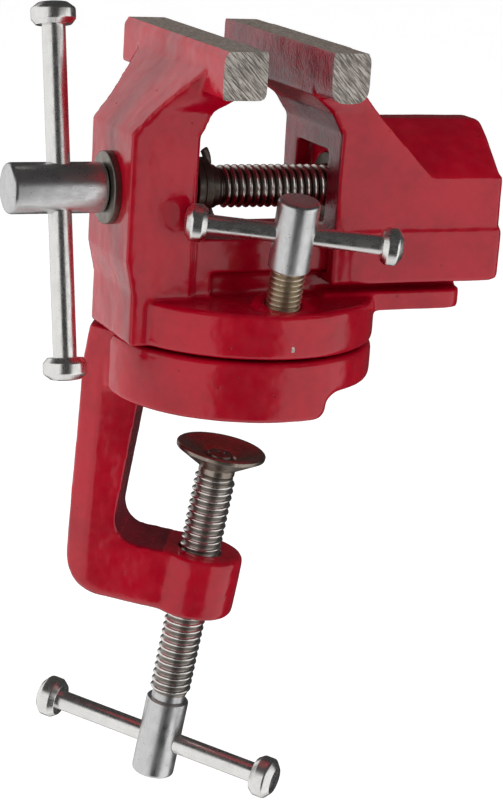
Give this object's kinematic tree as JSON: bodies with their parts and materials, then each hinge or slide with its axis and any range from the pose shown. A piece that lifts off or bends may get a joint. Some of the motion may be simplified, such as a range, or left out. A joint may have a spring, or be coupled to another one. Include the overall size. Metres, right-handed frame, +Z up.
{
  "type": "clamp-on swivel bench vise",
  "caption": "Small clamp-on bench vise with a swivel base, sliding front jaw on a rail, screw with T-bar, swivel lock screw and a C-clamp screw with swivel pad.",
  "frame": {"origin": "on the swivel axis, in the flat face of the lower disc that sits on the bench", "axes": "+Z up along the swivel axis; +X along the main screw, from its handle towards the moving jaw; the C-clamp hangs below the origin"},
  "size_m": [0.1148, 0.0697, 0.1859],
  "materials": {
    "red_enamel": "thick gloss enamel on cast iron, jaw tops and ends ground bare",
    "plated_steel": "bright plated, finely pitted",
    "thread_steel": "oiled dark steel",
    "lock_steel": "warm nickel plating",
    "washer_steel": "dull grey steel",
    "pad_steel": "browned steel with a rubbed bright rim",
    "nut_iron": "plain turned"
  },
  "bodies": {
    "clamp_frame": {"clamp_frame": "red_enamel", "pivot_bolt": "washer_steel", "pivot_washer": "washer_steel", "pivot_spring_washer": "washer_steel"},
    "vise_base": {"fixed_jaw": "red_enamel", "thrust_washer": "washer_steel"},
    "moving_jaw": {"moving_jaw": "red_enamel", "jaw_nut": "nut_iron"},
    "main_screw": {"main_screw": "thread_steel", "retaining_washer": "washer_steel", "split_pin": "washer_steel"},
    "main_handle": {"main_bar": "plated_steel", "main_bar_knob_a": "plated_steel", "main_bar_knob_b": "plated_steel"},
    "lock_shoe": {"lock_shoe": "nut_iron"},
    "lock_screw": {"lock_screw": "lock_steel"},
    "lock_handle": {"lock_bar": "plated_steel", "lock_bar_knob_a": "plated_steel", "lock_bar_knob_b": "plated_steel"},
    "clamp_pad": {"clamp_pad": "pad_steel"},
    "clamp_screw": {"clamp_screw": "plated_steel"},
    "clamp_handle": {"clamp_bar": "plated_steel", "clamp_bar_knob_a": "plated_steel", "clamp_bar_knob_b": "plated_steel"}
  },
  "joints": [
    {"name": "swivel", "type": "hinge", "parent": "clamp_frame", "child": "vise_base", "pos_m": [0, 0, 0.0137], "axis": [0, 0, 1], "continuous": true},
    {"name": "main_screw_spin", "type": "hinge", "parent": "vise_base", "child": "main_screw", "pos_m": [0, 0, 0.0474], "axis": [1, 0, 0], "range_deg": [-4800, 2980]},
    {"name": "jaw_slide", "type": "slide", "parent": "vise_base", "child": "moving_jaw", "axis": [1, 0, 0], "range_m": [-0.0149, 0.024]},
    {"name": "main_handle_slide", "type": "slide", "parent": "main_screw", "child": "main_handle", "axis": [0, 0.2368, 0.9715], "range_m": [-0.0296, 0.0313]},
    {"name": "lock_travel", "type": "slide", "parent": "vise_base", "child": "lock_shoe", "axis": [0, -0.2079, 0.9781], "range_m": [0, 0.0000869]},
    {"name": "lock_screw_spin", "type": "hinge", "parent": "lock_shoe", "child": "lock_screw", "pos_m": [0.0007, -0.022, 0.0244], "axis": [0, -0.2079, 0.9781], "range_deg": [0, 25]},
    {"name": "lock_handle_slide", "type": "slide", "parent": "lock_screw", "child": "lock_handle", "axis": [0.9397, -0.3345, -0.0711], "range_m": [-0.001, 0.0143]},
    {"name": "clamp_feed", "type": "slide", "parent": "clamp_frame", "child": "clamp_pad", "axis": [0.1259, -0.067, 0.9898], "range_m": [-0.0186, 0.0128]},
    {"name": "clamp_screw_spin", "type": "hinge", "parent": "clamp_pad", "child": "clamp_screw", "pos_m": [0, 0, 0], "axis": [0.1259, -0.067, 0.9898], "range_deg": [-3826.29, 2633.14]},
    {"name": "clamp_handle_slide", "type": "slide", "parent": "clamp_screw", "child": "clamp_handle", "axis": [0.6861, -0.7148, -0.1356], "range_m": [-0.0204, 0.022]}
  ],
  "couplings": [
    {"joint": "jaw_slide", "follows": "main_screw_spin", "m_per_rad": -0.00028648},
    {"joint": "lock_travel", "follows": "lock_screw_spin", "m_per_rad": 0.00019894},
    {"joint": "clamp_feed", "follows": "clamp_screw_spin", "m_per_rad": 0.00027852}
  ]
}
